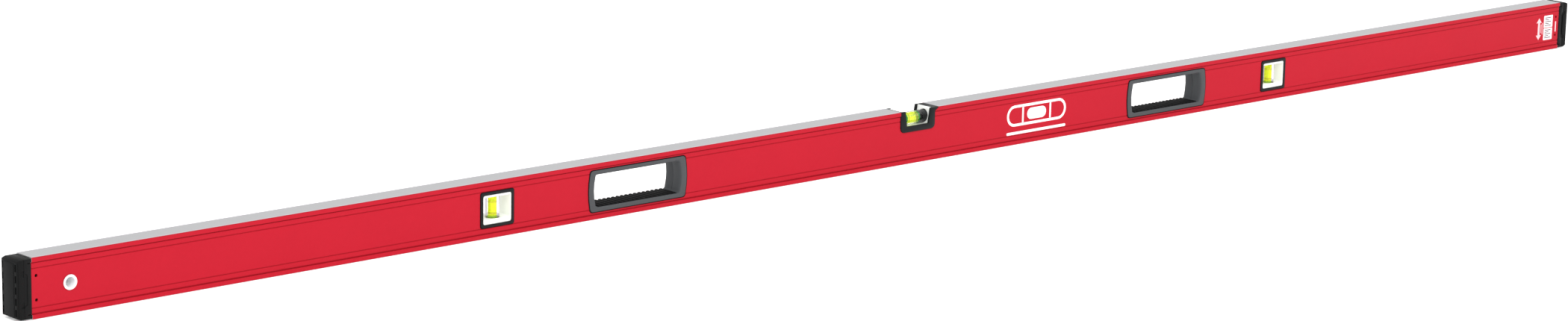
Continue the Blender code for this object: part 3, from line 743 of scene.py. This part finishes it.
@dataclass
class EndCap(Assembly):
    """A cap: a rigid plug and a soft bumper."""

    side: Side
    plug_round: float = 0.00030
    bumper_round: float = 0.00035

    def build(self) -> list[bpy.types.Object]:
        """Makes the plug and the bumper with rounded edges."""
        body = "end_cap_" + self.side.label
        plug = "end_plug_" + self.side.label
        bumper = "end_bumper_" + self.side.label
        return [
            rounded_node(plug, body, CAP_PLASTIC, self.plug_round),
            rounded_node(bumper, body, CAP_RUBBER, self.bumper_round, 3),
        ]


# ---------------------------------------------------------------- hand holes


@dataclass
class HandHole(Assembly):
    """A hand hole: two grip halves and the ribbed pad on its floor."""

    side: Side
    rim_round: float = 0.00025
    rib_round: float = 0.00025

    def build(self) -> list[bpy.types.Object]:
        """Makes the grip halves and the pad."""
        made = []
        for face in Face:
            node = f"grip_{self.side.label}_{face.label}"
            made.append(rounded_node(node, LEVEL_BODY, GRIP_PLASTIC, self.rim_round))
        pad = "grip_pad_" + self.side.label
        made.append(rounded_node(pad, LEVEL_BODY, GRIP_RUBBER, self.rib_round))
        return made


# ---------------------------------------------------------------- vials


@dataclass(frozen=True)
class Collar:
    """A thin tube round a vial's spirit, from one height to another along the vial."""

    part: str
    low: float
    high: float
    slot: str
    finish: Finish


def collar_pair(part: str, near: float, far: float, slot: str, finish: Finish) -> list[Collar]:
    """A collar at each end of a vial.

    Args:
        part: The collars' name, before the end's.
        near: The end nearer to the vial's middle.
        far: The end farther from it.
        slot: A material slot's name, stored on the collar; nothing uses it.
        finish: What they are made of.

    Returns:
        The left and the right collar.
    """
    pair = []
    for side in Side:
        low, high = sorted((side.value * near, side.value * far))
        pair.append(Collar(f"{part}_{side.label}", low, high, slot, finish))
    return pair


@dataclass
class Vial(Assembly):
    """An acrylic barrel with its plug, spirit, bubble and two reading rings."""

    label: str
    bubble_body: str
    axis: Axis
    centre: Point
    length: float
    body_length: float
    barrel: Finish
    spirit: Finish
    line: Finish
    barrel_radius: float = 0.0077
    neck_radius: float = 0.0063
    spirit_radius: float = 0.00405
    wall_end: float = 0.0023
    plug_length: float = 0.0026
    line_span: float = 0.0062
    line_width: float = 0.0005
    edge_round: float = 0.0004
    spirit_round: float = 0.0006
    spirit_gap: float = 0.0001
    plug_sink: float = 0.0004
    plug_over: float = 0.0003
    plug_round: float = 0.0002
    line_wall: Spot = (0.00003, 0.00022)
    collar_wall: Spot = (0.00004, 0.00045)
    bubble_fill: float = 0.985
    crown_from: float = 0.72
    crown_flat: float = 0.6
    collars: Sequence[Collar] = ()

    def barrel_mesh(self) -> bmesh.types.BMesh:
        """The clear barrel's outer form, with turned-down necks if it has them."""
        half = self.length / 2
        shoulder = self.body_length / 2
        profile = [(0.0, half), (self.barrel_radius, half), (self.barrel_radius, -half), (0.0, -half)]
        if shoulder < half - 0.0005:
            upper = [(0.0, half), (self.neck_radius, half), (self.neck_radius, shoulder)]
            upper.append((self.barrel_radius, shoulder))
            profile = upper + [(radius, -height) for radius, height in reversed(upper)]
        bm = lathe(profile, LATHE_STEPS)
        soften(bm, self.edge_round, 3)
        return bm

    def spirit_mesh(self) -> bmesh.types.BMesh:
        """The spirit's column, rounded at its blind end."""
        high = self.length / 2 - self.plug_length - self.spirit_gap
        bm = rod(self.spirit_radius, -self.length / 2 + self.wall_end, high)
        soften(bm, self.spirit_round, 4)
        return bm

    def plug_mesh(self) -> bmesh.types.BMesh:
        """The plug in the barrel's open end."""
        end = self.length / 2
        bm = rod(self.spirit_radius + self.plug_over, end - self.plug_length, end - self.plug_sink)
        soften(bm, self.plug_round, 2)
        return bm

    def ring_mesh(self, height: float) -> bmesh.types.BMesh:
        """One reading ring, just outside the spirit."""
        inner, outer = (self.spirit_radius + wall for wall in self.line_wall)
        return tube(inner, outer, height - self.line_width / 2, height + self.line_width / 2)

    def bubble_mesh(self) -> bmesh.types.BMesh:
        """The bubble: smooth, and flattened a little where it presses on the barrel or the plug."""
        low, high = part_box(self.label + "_bubble")
        size = (high - low) / 2
        bm = bmesh.new()
        bmesh.ops.create_uvsphere(bm, u_segments=40, v_segments=24, radius=1.0)
        bmesh.ops.scale(bm, vec=size * self.bubble_fill, verts=bm.verts)
        level = size.z * self.crown_from
        crown = [v for v in bm.verts if v.co.z > level]
        about = Matrix.Translation((0, 0, -level))
        bmesh.ops.scale(bm, vec=(1, 1, self.crown_flat), space=about, verts=crown)
        bmesh.ops.translate(bm, vec=(low + high) / 2, verts=bm.verts)
        return bm

    def build(self) -> list[bpy.types.Object]:
        """Makes the vial's pieces."""
        plan: list[tuple[str, Callable[[], bmesh.types.BMesh], str, Finish]] = [
            ("vial", self.barrel_mesh, "clear_acrylic", self.barrel),
            ("fluid", self.spirit_mesh, "vial_fluid", self.spirit),
            ("plug", self.plug_mesh, "vial_plug", PLUG_WHITE),
            ("ring_a", lambda: self.ring_mesh(-self.line_span), "reading_line", self.line),
            ("ring_b", lambda: self.ring_mesh(self.line_span), "reading_line", self.line),
        ]
        made = []
        for part, shape, slot, finish in plan:
            node = f"{self.label}_{part}"
            bm = shape()
            put(bm, self.centre, self.axis)
            made.append(finish_piece(bm, node + "_turned", LEVEL_BODY, finish, [node]))
        inner, outer = (self.spirit_radius + wall for wall in self.collar_wall)
        for collar in self.collars:
            bm = tube(inner, outer, collar.low, collar.high)
            put(bm, self.centre, self.axis)
            name = f"{self.label}_{collar.part}"
            made.append(finish_piece(bm, name, LEVEL_BODY, collar.finish))
        node = self.label + "_bubble"
        bm = self.bubble_mesh()
        made.append(finish_piece(bm, node + "_air", self.bubble_body, SPIRIT_AIR, [node], 60.0))
        return made


@dataclass
class PlumbWindow(Assembly):
    """A plumb window: two bezels, the white block and the upright vial."""

    side: Side
    bezel_round: float = 0.0004
    block_round: float = 0.0003
    spirit_round: float = 0.0016
    foot_seal: Spot = (-0.0112, -0.0094)

    def build(self) -> list[bpy.types.Object]:
        """Makes the window's pieces."""
        label = "plumb_" + self.side.label
        made = []
        for face in Face:
            node = f"{label}_bezel_{face.label}"
            made.append(rounded_node(node, LEVEL_BODY, FRAME_PLASTIC, self.bezel_round))
        block = label + "_carrier"
        made.append(rounded_node(block, LEVEL_BODY, WHITE_PLASTIC, self.block_round))
        low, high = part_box(label + "_vial")
        vial = Vial(
            label,
            "bubble_" + self.side.label,
            Axis.Z,
            tuple((low + high) / 2),
            high.z - low.z,
            high.z - low.z,
            PLUMB_ACRYLIC,
            PLUMB_SPIRIT,
            PLUMB_LINE,
            spirit_round=self.spirit_round,
            collars=[Collar("seal", *self.foot_seal, "clear_acrylic", PLUMB_SEAL)],
        )
        return made + vial.build()


@dataclass
class CentreWindow(Assembly):
    """The centre window in the top: two plates, the white saddle, the sleeves and the level vial."""

    plate_round: float = 0.0004
    saddle_round: float = 0.0003
    sleeve_round: float = 0.00015
    barrel_length: float = 0.0292
    sleeve_wall: float = 0.0007
    seal_span: Spot = (0.0085, 0.0108)
    collar_span: Spot = (0.0109, 0.0195)

    def sleeve(self, side: Side) -> bpy.types.Object:
        """A black sleeve round one neck of the vial."""
        node = "centre_sleeve_" + side.label
        low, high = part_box(node)
        radius = (high.z - low.z) / 2
        half = (high.x - low.x) / 2
        bm = tube(radius - self.sleeve_wall, radius, -half, half)
        soften(bm, self.sleeve_round, 2)
        put(bm, tuple((low + high) / 2), Axis.X)
        return finish_piece(bm, node + "_turned", LEVEL_BODY, SLEEVE_PLASTIC, [node])

    def build(self) -> list[bpy.types.Object]:
        """Makes the window's pieces."""
        made = []
        for face in Face:
            node = "centre_housing_" + face.label
            made.append(rounded_node(node, LEVEL_BODY, FRAME_PLASTIC, self.plate_round))
        saddle = "centre_carrier"
        made.append(rounded_node(saddle, LEVEL_BODY, WHITE_PLASTIC, self.saddle_round))
        made += [self.sleeve(side) for side in Side]
        low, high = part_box("centre_vial")
        vial = Vial(
            "centre",
            "bubble_centre",
            Axis.X,
            tuple((low + high) / 2),
            high.x - low.x,
            self.barrel_length,
            CENTRE_ACRYLIC,
            CENTRE_SPIRIT,
            RING_LINE,
            collars=[
                *collar_pair("seal", *self.seal_span, "clear_acrylic", SEAL_GREEN),
                *collar_pair("collar", *self.collar_span, "black_plastic", SLEEVE_PLASTIC),
            ],
        )
        return made + vial.build()


@dataclass
class HangHole(Assembly):
    """The hang hole's two pale bushes."""

    flange: float = 0.0079
    bore: float = 0.0054
    wall: float = 0.0012
    flange_depth: float = 0.00075
    edge_round: float = 0.00045

    def build(self) -> list[bpy.types.Object]:
        """Turns each half as one smooth piece."""
        made = []
        for face in Face:
            node = "hang_bush_" + face.label
            low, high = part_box(node)
            outer = max(abs(low.y), abs(high.y))
            inner = min(abs(low.y), abs(high.y))
            web = outer - self.flange_depth
            sleeve = self.bore + self.wall
            profile = [(self.bore, outer), (self.flange, outer), (self.flange, web), (sleeve, web)]
            profile += [(sleeve, inner), (self.bore, inner)]
            bm = lathe(profile, BUSH_STEPS, closed=True)
            soften(bm, self.edge_round, 4)
            if face is Face.FRONT:
                half_turn = Matrix.Rotation(math.pi, 3, "X")
                bmesh.ops.rotate(bm, cent=(0, 0, 0), matrix=half_turn, verts=bm.verts)
            put(bm, ((low.x + high.x) / 2, 0.0, (low.z + high.z) / 2), Axis.Y)
            made.append(finish_piece(bm, node + "_turned", LEVEL_BODY, PALE_BUSH, [node]))
        return made


@dataclass
class RimShadowStrips(Assembly):
    """A thin black strip round each grip rim and each plumb bezel: painted shadow that stands in for the dark
    gap round the rim.
    """

    web: float = 0.01315
    stand_off: float = 0.00003
    thickness: float = 0.00045
    slice_depth: float = 0.0138
    rim_show: float = 0.0009
    bezel_show: float = 0.0005
    under: float = 0.0018

    def outer_loop(self, node: str, facing: int) -> bmesh.types.BMesh:
        """The outer edge of a rim, as one closed loop of edges.

        Args:
            node: The rim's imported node.
            facing: -1 for a front rim and 1 for a rear one.

        Returns:
            A mesh that holds only the loop.
        """
        bm = node_copy(node)
        bmesh.ops.bisect_plane(
            bm,
            geom=[*bm.verts, *bm.edges, *bm.faces],
            dist=SLICE_TOLERANCE,
            plane_co=(0, facing * self.slice_depth, 0),
            plane_no=(0, 1, 0),
            clear_inner=True,
            clear_outer=True,
        )
        loop = {min(bm.verts, key=lambda v: v.co.x)}
        fresh = set(loop)
        while fresh:
            fresh = {e.other_vert(v) for v in fresh for e in v.link_edges} - loop
            loop |= fresh
        bmesh.ops.delete(bm, geom=[v for v in bm.verts if v not in loop], context="VERTS")
        return bm

    def seal(self, node: str, face: Face, show: float) -> bpy.types.Object:
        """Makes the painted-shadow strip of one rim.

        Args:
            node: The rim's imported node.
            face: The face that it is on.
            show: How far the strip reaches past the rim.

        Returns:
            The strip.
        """
        bm = self.outer_loop(node, face.value)
        low = Vector(map(min, *[v.co for v in bm.verts]))
        high = Vector(map(max, *[v.co for v in bm.verts]))
        size, middle = high - low, (low + high) / 2
        grow = (1 + 2 * show / size.x, 1, 1 + 2 * show / size.z)
        bmesh.ops.scale(bm, vec=grow, space=Matrix.Translation(-middle), verts=bm.verts)
        near = face.value * (self.web + self.stand_off)
        bmesh.ops.translate(bm, vec=(0, near - middle.y, 0), verts=bm.verts)
        whole = bmesh.ops.edgeloop_fill(bm, edges=list(bm.edges))["faces"]
        reach = show + self.under
        bmesh.ops.inset_region(bm, faces=whole, thickness=reach, use_even_offset=True, use_boundary=True)
        bmesh.ops.delete(bm, geom=whole, context="FACES_ONLY")
        grown = bmesh.ops.extrude_face_region(bm, geom=list(bm.faces))["geom"]
        moved = [item for item in grown if isinstance(item, bmesh.types.BMVert)]
        bmesh.ops.translate(bm, vec=(0, face.value * self.thickness, 0), verts=moved)
        bmesh.ops.recalc_face_normals(bm, faces=bm.faces)
        # This black strip is painted shadow round the rim.
        return finish_piece(bm, node + "_seal", LEVEL_BODY, SHADOW_STRIP_BLACK)

    def build(self) -> list[bpy.types.Object]:
        """Makes a painted-shadow strip for every rim and bezel."""
        made = []
        for side in Side:
            for face in Face:
                made.append(self.seal(f"grip_{side.label}_{face.label}", face, self.rim_show))
                made.append(self.seal(f"plumb_{side.label}_bezel_{face.label}", face, self.bezel_show))
        return made


# ---------------------------------------------------------------- printed marks


@dataclass
class Markings(Assembly):
    """Plain printed marks on the front web: a size plate, an arrow and a vial sign."""

    web: float = 0.01315
    film: float = 0.00004
    sunk: float = 0.00002
    corner_steps: int = 8
    cell_span: Spot = (1.1702, 1.1888)
    cell_rows: tuple[Spot, ...] = ((0.0145, 0.0305), (0.0315, 0.0480))
    cell_corner: float = 0.0008
    tick_left: float = 1.1727
    tick_starts: Spot = (0.0168, 0.0338)
    tick_count: int = 5
    tick_pitch: float = 0.0026
    tick_width: float = 0.0013
    tick_reach: Spot = (0.0128, 0.0084)
    tick_lift: float = 0.8
    shaft_span: Spot = (1.1578, 1.1620)
    shaft_rows: Spot = (0.0225, 0.0395)
    arrow_x: float = 1.1599
    arrow_tips: Spot = (0.0160, 0.0460)
    head_half: float = 0.0054
    arrow_bars: tuple[tuple[Spot, Spot], ...] = (
        ((1.1641, 1.1652), (0.0250, 0.0370)),
        ((1.1668, 1.1678), (0.0230, 0.0390)),
        ((1.1945, 1.1968), (0.0240, 0.0380)),
    )
    sign_span: Spot = (0.1480, 0.2480)
    sign_rows: Spot = (0.0225, 0.0485)
    sign_corner: float = 0.0129
    sign_line: float = 0.0032
    oval_span: Spot = (0.1820, 0.2140)
    oval_rows: Spot = (0.0285, 0.0425)
    oval_corner: float = 0.0069
    mark_spans: tuple[Spot, ...] = ((0.1735, 0.1762), (0.2198, 0.2225))
    mark_rows: Spot = (0.0262, 0.0448)
    stripe_rows: Spot = (0.0125, 0.0158)
    stripe_corner: float = 0.0016

    def slab(self, span: Spot, rows: Spot, corner: float = 0.0) -> bmesh.types.BMesh:
        """A thin rectangle on the web.

        Args:
            span: Its ends along the beam.
            rows: Its lower and upper edges.
            corner: How far its corners are rounded, or 0 for square ones.

        Returns:
            The rectangle.
        """
        bm = bmesh.new()
        bmesh.ops.create_cube(bm, size=1.0)
        deep = self.film + self.sunk
        bmesh.ops.scale(bm, vec=(span[1] - span[0], deep, rows[1] - rows[0]), verts=bm.verts)
        middle = (sum(span) / 2, -self.web - self.film + deep / 2, sum(rows) / 2)
        bmesh.ops.translate(bm, vec=middle, verts=bm.verts)
        if corner > 0:
            upright = [e for e in bm.edges if abs(e.verts[0].co.y - e.verts[1].co.y) > deep / 2]
            bmesh.ops.bevel(
                bm,
                geom=upright,
                offset=corner,
                segments=self.corner_steps,
                profile=0.5,
                affect="EDGES",
                material=-1,
            )
        return bm

    def ring(self, span: Spot, rows: Spot, corner: float, line: float) -> bmesh.types.BMesh:
        """A rounded outline of a given line width."""
        bm = self.slab(span, rows, corner)
        broad = [f for f in bm.faces if abs(f.normal.y) > 0.9]
        bmesh.ops.inset_individual(bm, faces=broad, thickness=line, depth=0.0, use_even_offset=True)
        inner = sorted(broad, key=lambda f: f.calc_center_median().y)
        bmesh.ops.bridge_loops(bm, edges=[e for f in inner for e in f.edges])
        bmesh.ops.delete(bm, geom=inner, context="FACES_ONLY")
        bmesh.ops.recalc_face_normals(bm, faces=bm.faces)
        return bm

    def head(self, tip: Spot, base_half: float, base_up: float) -> bmesh.types.BMesh:
        """An arrow head from its tip to a level base."""
        bm = bmesh.new()
        deep = self.film + self.sunk
        front = -self.web - self.film
        corners = [(tip[0], tip[1]), (tip[0] + base_half, base_up), (tip[0] - base_half, base_up)]
        face = bm.faces.new([bm.verts.new((x, front, z)) for x, z in corners])
        grown = bmesh.ops.extrude_face_region(bm, geom=[face])["geom"]
        moved = [item for item in grown if isinstance(item, bmesh.types.BMVert)]
        bmesh.ops.translate(bm, vec=(0, deep, 0), verts=moved)
        bmesh.ops.recalc_face_normals(bm, faces=bm.faces)
        return bm

    def mark(self, name: str, finish: Finish, shapes: Sequence[bmesh.types.BMesh]) -> bpy.types.Object:
        """Joins several thin shapes as one printed piece."""
        whole = bmesh.new()
        for shape in shapes:
            scrap = bpy.data.meshes.new("scrap")
            shape.to_mesh(scrap)
            shape.free()
            whole.from_mesh(scrap)
            bpy.data.meshes.remove(scrap)
        return finish_piece(whole, name, LEVEL_BODY, finish)

    def size_plate(self) -> list[bpy.types.Object]:
        """Two white cells with plain scale ticks."""
        cells = [self.slab(self.cell_span, rows, self.cell_corner) for rows in self.cell_rows]
        plate = self.mark("print_size_cells", WHITE_INK, cells)
        ticks = []
        for start in self.tick_starts:
            for i in range(self.tick_count):
                low = start + i * self.tick_pitch
                right = self.tick_left + self.tick_reach[i % 2]
                tick = self.slab((self.tick_left, right), (low, low + self.tick_width))
                bmesh.ops.translate(tick, vec=(0, -self.film * self.tick_lift, 0), verts=tick.verts)
                ticks.append(tick)
        return [plate, self.mark("print_size_ticks", GREY_INK, ticks)]

    def arrow(self) -> bpy.types.Object:
        """A double-headed arrow with two thin lines beside it, and a short bar by the cap."""
        shapes = [self.slab(self.shaft_span, self.shaft_rows)]
        for tip, base in zip(self.arrow_tips, self.shaft_rows):
            shapes.append(self.head((self.arrow_x, tip), self.head_half, base))
        shapes += [self.slab(span, rows) for span, rows in self.arrow_bars]
        return self.mark("print_arrow", PINK_INK, shapes)

    def vial_sign(self) -> bpy.types.Object:
        """A capsule outline with an oval bubble between two ticks, over a plain stripe."""
        shapes = [
            self.ring(self.sign_span, self.sign_rows, self.sign_corner, self.sign_line),
            self.slab(self.oval_span, self.oval_rows, self.oval_corner),
            *(self.slab(span, self.mark_rows) for span in self.mark_spans),
            self.slab(self.sign_span, self.stripe_rows, self.stripe_corner),
        ]
        return self.mark("print_vial_sign", WHITE_INK, shapes)

    def build(self) -> list[bpy.types.Object]:
        """Makes the printed marks."""
        return [*self.size_plate(), self.arrow(), self.vial_sign()]


# ---------------------------------------------------------------- studio


@dataclass(frozen=True)
class Lamp:
    """A large soft lamp that is aimed at the middle of the level."""

    name: str
    place: Point
    size: float
    power: float


@dataclass
class Studio:
    """The pale floor, the soft lights and the camera."""

    lens: float = 94.5946
    eye: Point = (-3.26852, -3.45900, 1.05504)
    angles: Point = (77.45490, -1.08060, -41.36095)
    sky: float = 1.0
    sun: float = 0.6
    sun_spread: float = 35.0
    sun_angles: Point = (42.0, -16.0, 0.0)
    floor_size: float = 60.0
    floor_drop: float = 0.0002
    aim: Point = (0.0, 0.0, 0.03)
    lamps: tuple[Lamp, ...] = (
        Lamp("key", (-2.2, -2.6, 3.0), 2.4, 60.0),
        Lamp("fill", (2.8, -2.0, 2.2), 2.0, 26.0),
    )

    def floor(self) -> None:
        """Lays the floor under the level."""
        bm = bmesh.new()
        bmesh.ops.create_grid(bm, x_segments=1, y_segments=1, size=self.floor_size)
        bmesh.ops.translate(bm, vec=(0, 0, -self.floor_drop), verts=bm.verts)
        mesh = bpy.data.meshes.new("floor")
        bm.to_mesh(mesh)
        bm.free()
        mesh.materials.append(FLOOR.material())
        floor = bpy.data.objects.new("floor", mesh)
        bpy.context.scene.collection.objects.link(floor)

    def light(self) -> None:
        """Sets a white sky, a broad sun and two large soft lamps."""
        world = bpy.data.worlds.new("sky")
        world.use_nodes = True
        back = world.node_tree.nodes["Background"]
        back.inputs["Color"].default_value = (1.0, 1.0, 1.0, 1.0)
        back.inputs["Strength"].default_value = self.sky
        bpy.context.scene.world = world
        sun = bpy.data.lights.new("sun", "SUN")
        sun.energy = self.sun
        sun.angle = math.radians(self.sun_spread)
        held = bpy.data.objects.new("sun", sun)
        held.rotation_euler = tuple(math.radians(a) for a in self.sun_angles)
        bpy.context.scene.collection.objects.link(held)
        for lamp in self.lamps:
            light = bpy.data.lights.new(lamp.name, "AREA")
            light.size = lamp.size
            light.energy = lamp.power
            stand = bpy.data.objects.new(lamp.name, light)
            stand.location = lamp.place
            way = Vector(self.aim) - Vector(lamp.place)
            stand.rotation_euler = way.to_track_quat("-Z", "Y").to_euler()
            bpy.context.scene.collection.objects.link(stand)

    def camera(self) -> None:
        """Places the camera."""
        data = bpy.data.cameras.new("camera")
        data.lens = self.lens
        data.sensor_width = 36.0
        data.sensor_fit = "HORIZONTAL"
        data.clip_start = 0.05
        data.clip_end = 200.0
        eye = bpy.data.objects.new("camera", data)
        eye.location = self.eye
        eye.rotation_euler = tuple(math.radians(a) for a in self.angles)
        bpy.context.scene.collection.objects.link(eye)
        bpy.context.scene.camera = eye
        bpy.context.scene.view_settings.view_transform = "Standard"

    def build(self) -> None:
        """Sets up the whole studio."""
        self.floor()
        self.light()
        self.camera()


def main() -> None:
    """Builds every assembly in order, then the studio."""
    logging.basicConfig(level=logging.INFO, format="%(name)s: %(message)s")
    assemblies: list[Assembly] = [Beam()]
    for side in Side:
        assemblies += [EndCap(side), HandHole(side), PlumbWindow(side)]
    assemblies += [CentreWindow(), HangHole(), RimShadowStrips(), Markings()]
    for assembly in assemblies:
        for piece in assembly.build():
            LOG.info("%s: %s, %d faces", type(assembly).__name__, piece.name, len(piece.data.polygons))
    Studio().build()


if __name__ == "__main__":
    main()
